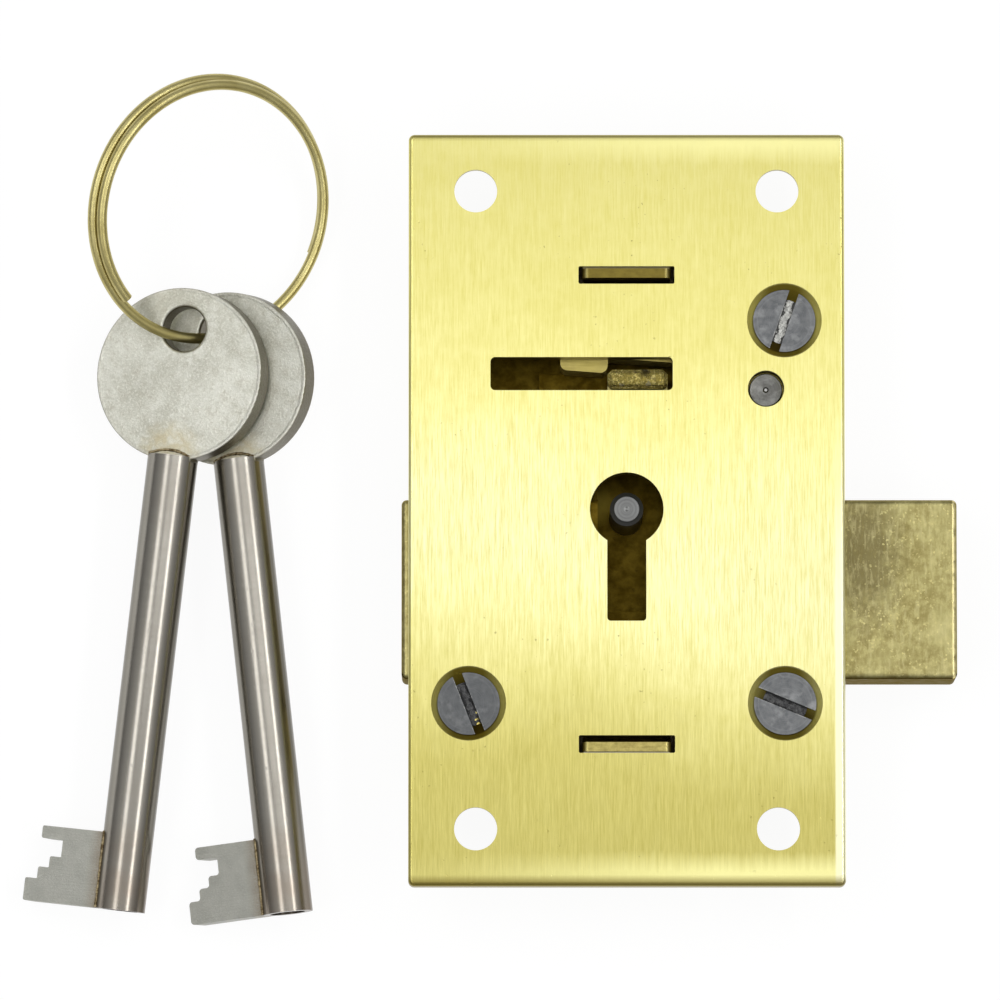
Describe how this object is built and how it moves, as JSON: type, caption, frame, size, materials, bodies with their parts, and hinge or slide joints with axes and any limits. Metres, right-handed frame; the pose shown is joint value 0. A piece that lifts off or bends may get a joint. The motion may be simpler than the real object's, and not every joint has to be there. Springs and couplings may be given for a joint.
{
  "type": "cupboard lock",
  "caption": "Straight cupboard lock with a flat brass face plate, a bolt that passes through both sides of its case, lift levers, and stepped pipe keys on a split ring.",
  "frame": {"origin": "on the axis of the drill pin, in the outer flat face of the case back", "axes": "+X along the bolt towards the end that is shot, +Y along the plate away from the keyhole slot, +Z out of the face plate"},
  "size_m": [0.0794, 0.072, 0.0144],
  "materials": {
    "plate_brass": "bright rolled brass, brushed along the plate height",
    "case_brass": "drawn brass sheet, satin",
    "post_brass": "turned brass",
    "cast_brass": "cast brass, dull and mottled",
    "lever_brass": "blanked brass sheet, matt",
    "spring_bronze": "rolled bronze strip",
    "screw_steel": "blued steel, satin",
    "pin_steel": "turned steel",
    "bow_nickel": "satin nickel plate",
    "shank_steel": "nickel plate brushed along its length",
    "bit_steel": "nickel plate, satin",
    "ring_brass": "drawn brass wire"
  },
  "bodies": {
    "lock_case": {"case": "case_brass", "front_plate": "plate_brass", "case_posts": "post_brass", "case_screws": "screw_steel", "drill_pin": "pin_steel", "lever_pivot": "pin_steel"},
    "bolt": {"bolt": "cast_brass"},
    "lever_1": {"lever_1": "lever_brass", "lever_spring_1": "spring_bronze"},
    "lever_2": {"lever_2": "lever_brass", "lever_spring_2": "spring_bronze"},
    "lever_3": {"lever_3": "lever_brass", "lever_spring_3": "spring_bronze"},
    "lever_4": {"lever_4": "lever_brass", "lever_spring_4": "spring_bronze"},
    "key_ring": {"key_ring": "ring_brass"},
    "front_key": {"front_key_bow": "bow_nickel", "front_key_shank": "shank_steel", "front_key_bit": "bit_steel"},
    "back_key": {"back_key_bow": "bow_nickel", "back_key_shank": "shank_steel", "back_key_bit": "bit_steel"}
  },
  "joints": [
    {"name": "bolt_slide", "type": "slide", "parent": "lock_case", "child": "bolt", "axis": [1, 0, 0], "range_m": [-0.0094, 0]},
    {"name": "lever_1_lift", "type": "hinge", "parent": "lock_case", "child": "lever_1", "pos_m": [0.01183, 0.01026, 0.005], "axis": [0, 0, -1], "range_deg": [-4.3, 3], "stiffness_Nm_per_rad": 0.005},
    {"name": "lever_2_lift", "type": "hinge", "parent": "lock_case", "child": "lever_2", "pos_m": [0.01183, 0.01026, 0.005], "axis": [0, 0, -1], "range_deg": [-4.3, 3], "stiffness_Nm_per_rad": 0.005},
    {"name": "lever_3_lift", "type": "hinge", "parent": "lock_case", "child": "lever_3", "pos_m": [0.01183, 0.01026, 0.005], "axis": [0, 0, -1], "range_deg": [-4.3, 3], "stiffness_Nm_per_rad": 0.005},
    {"name": "lever_4_lift", "type": "hinge", "parent": "lock_case", "child": "lever_4", "pos_m": [0.01183, 0.01026, 0.005], "axis": [0, 0, -1], "range_deg": [-4.3, 3], "stiffness_Nm_per_rad": 0.005},
    {"name": "key_ring_lift", "type": "slide", "parent": "lock_case", "child": "key_ring", "axis": [0, 0, 1], "range_m": [0, 0.04]},
    {"name": "front_key_swing", "type": "hinge", "parent": "key_ring", "child": "front_key", "pos_m": [-0.03734, 0.01574, 0.00537], "axis": [0, 0, 1], "range_deg": [-12, 1]},
    {"name": "back_key_swing", "type": "hinge", "parent": "key_ring", "child": "back_key", "pos_m": [-0.03424, 0.01555, 0.00378], "axis": [0, 0, 1], "range_deg": [-1, 10]}
  ]
}
